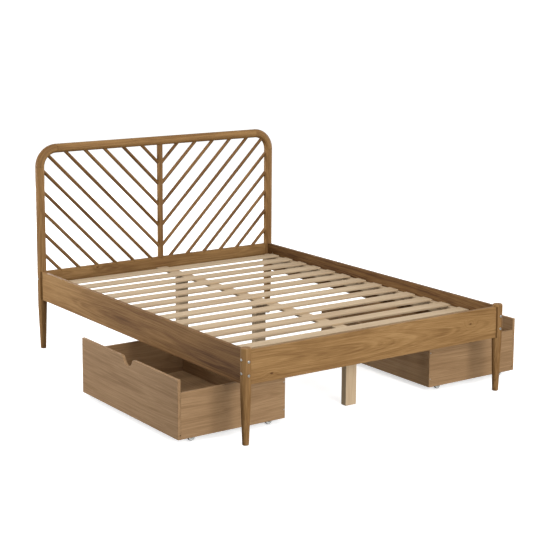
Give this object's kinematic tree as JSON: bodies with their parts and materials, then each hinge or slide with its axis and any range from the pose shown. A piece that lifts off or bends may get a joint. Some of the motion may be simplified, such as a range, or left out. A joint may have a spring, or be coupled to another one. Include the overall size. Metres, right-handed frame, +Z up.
{
  "type": "platform bed with storage drawers",
  "caption": "Slatted platform bed with tapered round legs, a bent-tube headboard of slanting rods, and a wide castor drawer on each side.",
  "frame": {"origin": "on the floor under the middle centre leg, midway between the side rails", "axes": "+X across the bed, towards the side of the right drawer; +Y towards the headboard; +Z up"},
  "size_m": [2.075, 2.076, 1.1475],
  "materials": {
    "stained_oak": "satin lacquer over a mid-brown oak stain",
    "drawer_board": "satin, a greyer brown with a wavy grain",
    "pine": "bare planed softwood",
    "zinc_steel": "bright zinc plate",
    "white_plastic": "moulded, matt"
  },
  "bodies": {
    "frame": {"foot_leg_left": "stained_oak", "foot_leg_right": "stained_oak", "head_post_left": "stained_oak", "head_post_right": "stained_oak", "headboard_corner_left": "stained_oak", "headboard_corner_right": "stained_oak", "headboard_top_rail": "stained_oak", "centre_spindle_and_upper_rods": "stained_oak", "head_rail_and_lower_rods": "stained_oak", "foot_rail": "stained_oak", "side_rail_left": "stained_oak", "side_rail_right": "stained_oak", "slat_ledge_left": "pine", "slat_ledge_right": "pine", "centre_beam": "pine", "centre_leg_foot": "pine", "centre_leg_middle": "pine", "centre_leg_head": "pine", "slat_01": "pine", "slat_02": "pine", "slat_03": "pine", "slat_04": "pine", "slat_05": "pine", "slat_06": "pine", "slat_07": "pine", "slat_08": "pine", "slat_09": "pine", "slat_10": "pine", "slat_11": "pine", "slat_12": "pine", "slat_13": "pine", "slat_14": "pine"},
    "drawer_left": {"drawer_left_front": "drawer_board", "drawer_left_back": "drawer_board", "drawer_left_side_foot": "drawer_board", "drawer_left_side_head": "drawer_board", "drawer_left_bottom": "drawer_board", "drawer_left_castor_1": "zinc_steel", "drawer_left_castor_2": "zinc_steel", "drawer_left_castor_3": "zinc_steel", "drawer_left_castor_4": "zinc_steel"},
    "drawer_right": {"drawer_right_front": "drawer_board", "drawer_right_back": "drawer_board", "drawer_right_side_foot": "drawer_board", "drawer_right_side_head": "drawer_board", "drawer_right_bottom": "drawer_board", "drawer_right_castor_1": "zinc_steel", "drawer_right_castor_2": "zinc_steel", "drawer_right_castor_3": "zinc_steel", "drawer_right_castor_4": "zinc_steel"},
    "drawer_left_wheel_1": {"drawer_left_wheel_1": "white_plastic"},
    "drawer_left_wheel_2": {"drawer_left_wheel_2": "white_plastic"},
    "drawer_left_wheel_3": {"drawer_left_wheel_3": "white_plastic"},
    "drawer_left_wheel_4": {"drawer_left_wheel_4": "white_plastic"},
    "drawer_right_wheel_1": {"drawer_right_wheel_1": "white_plastic"},
    "drawer_right_wheel_2": {"drawer_right_wheel_2": "white_plastic"},
    "drawer_right_wheel_3": {"drawer_right_wheel_3": "white_plastic"},
    "drawer_right_wheel_4": {"drawer_right_wheel_4": "white_plastic"}
  },
  "joints": [
    {"name": "drawer_left_slide", "type": "slide", "parent": "frame", "child": "drawer_left", "axis": [-1, 0, 0], "range_m": [-0.23, 0.34]},
    {"name": "drawer_right_slide", "type": "slide", "parent": "frame", "child": "drawer_right", "axis": [1, 0, 0], "range_m": [-0.263, 0.31]},
    {"name": "drawer_left_wheel_1_roll", "type": "hinge", "parent": "drawer_left", "child": "drawer_left_wheel_1", "pos_m": [-0.936, 0.0355, 0.0175], "axis": [0, -1, 0], "range_deg": [-760, 1120]},
    {"name": "drawer_left_wheel_2_roll", "type": "hinge", "parent": "drawer_left", "child": "drawer_left_wheel_2", "pos_m": [-0.936, -0.8175, 0.0175], "axis": [0, -1, 0], "range_deg": [-760, 1120]},
    {"name": "drawer_left_wheel_3_roll", "type": "hinge", "parent": "drawer_left", "child": "drawer_left_wheel_3", "pos_m": [-0.509, 0.0355, 0.0175], "axis": [0, -1, 0], "range_deg": [-760, 1120]},
    {"name": "drawer_left_wheel_4_roll", "type": "hinge", "parent": "drawer_left", "child": "drawer_left_wheel_4", "pos_m": [-0.509, -0.8175, 0.0175], "axis": [0, -1, 0], "range_deg": [-760, 1120]},
    {"name": "drawer_right_wheel_1_roll", "type": "hinge", "parent": "drawer_right", "child": "drawer_right_wheel_1", "pos_m": [0.969, -0.8175, 0.0175], "axis": [0, 1, 0], "range_deg": [-870, 1020]},
    {"name": "drawer_right_wheel_2_roll", "type": "hinge", "parent": "drawer_right", "child": "drawer_right_wheel_2", "pos_m": [0.969, 0.0355, 0.0175], "axis": [0, 1, 0], "range_deg": [-870, 1020]},
    {"name": "drawer_right_wheel_3_roll", "type": "hinge", "parent": "drawer_right", "child": "drawer_right_wheel_3", "pos_m": [0.542, -0.8175, 0.0175], "axis": [0, 1, 0], "range_deg": [-870, 1020]},
    {"name": "drawer_right_wheel_4_roll", "type": "hinge", "parent": "drawer_right", "child": "drawer_right_wheel_4", "pos_m": [0.542, 0.0355, 0.0175], "axis": [0, 1, 0], "range_deg": [-870, 1020]}
  ],
  "couplings": [
    {"joint": "drawer_left_wheel_1_roll", "follows": "drawer_left_slide", "rad_per_m": 57.143},
    {"joint": "drawer_left_wheel_2_roll", "follows": "drawer_left_slide", "rad_per_m": 57.143},
    {"joint": "drawer_left_wheel_3_roll", "follows": "drawer_left_slide", "rad_per_m": 57.143},
    {"joint": "drawer_left_wheel_4_roll", "follows": "drawer_left_slide", "rad_per_m": 57.143},
    {"joint": "drawer_right_wheel_1_roll", "follows": "drawer_right_slide", "rad_per_m": 57.143},
    {"joint": "drawer_right_wheel_2_roll", "follows": "drawer_right_slide", "rad_per_m": 57.143},
    {"joint": "drawer_right_wheel_3_roll", "follows": "drawer_right_slide", "rad_per_m": 57.143},
    {"joint": "drawer_right_wheel_4_roll", "follows": "drawer_right_slide", "rad_per_m": 57.143}
  ]
}
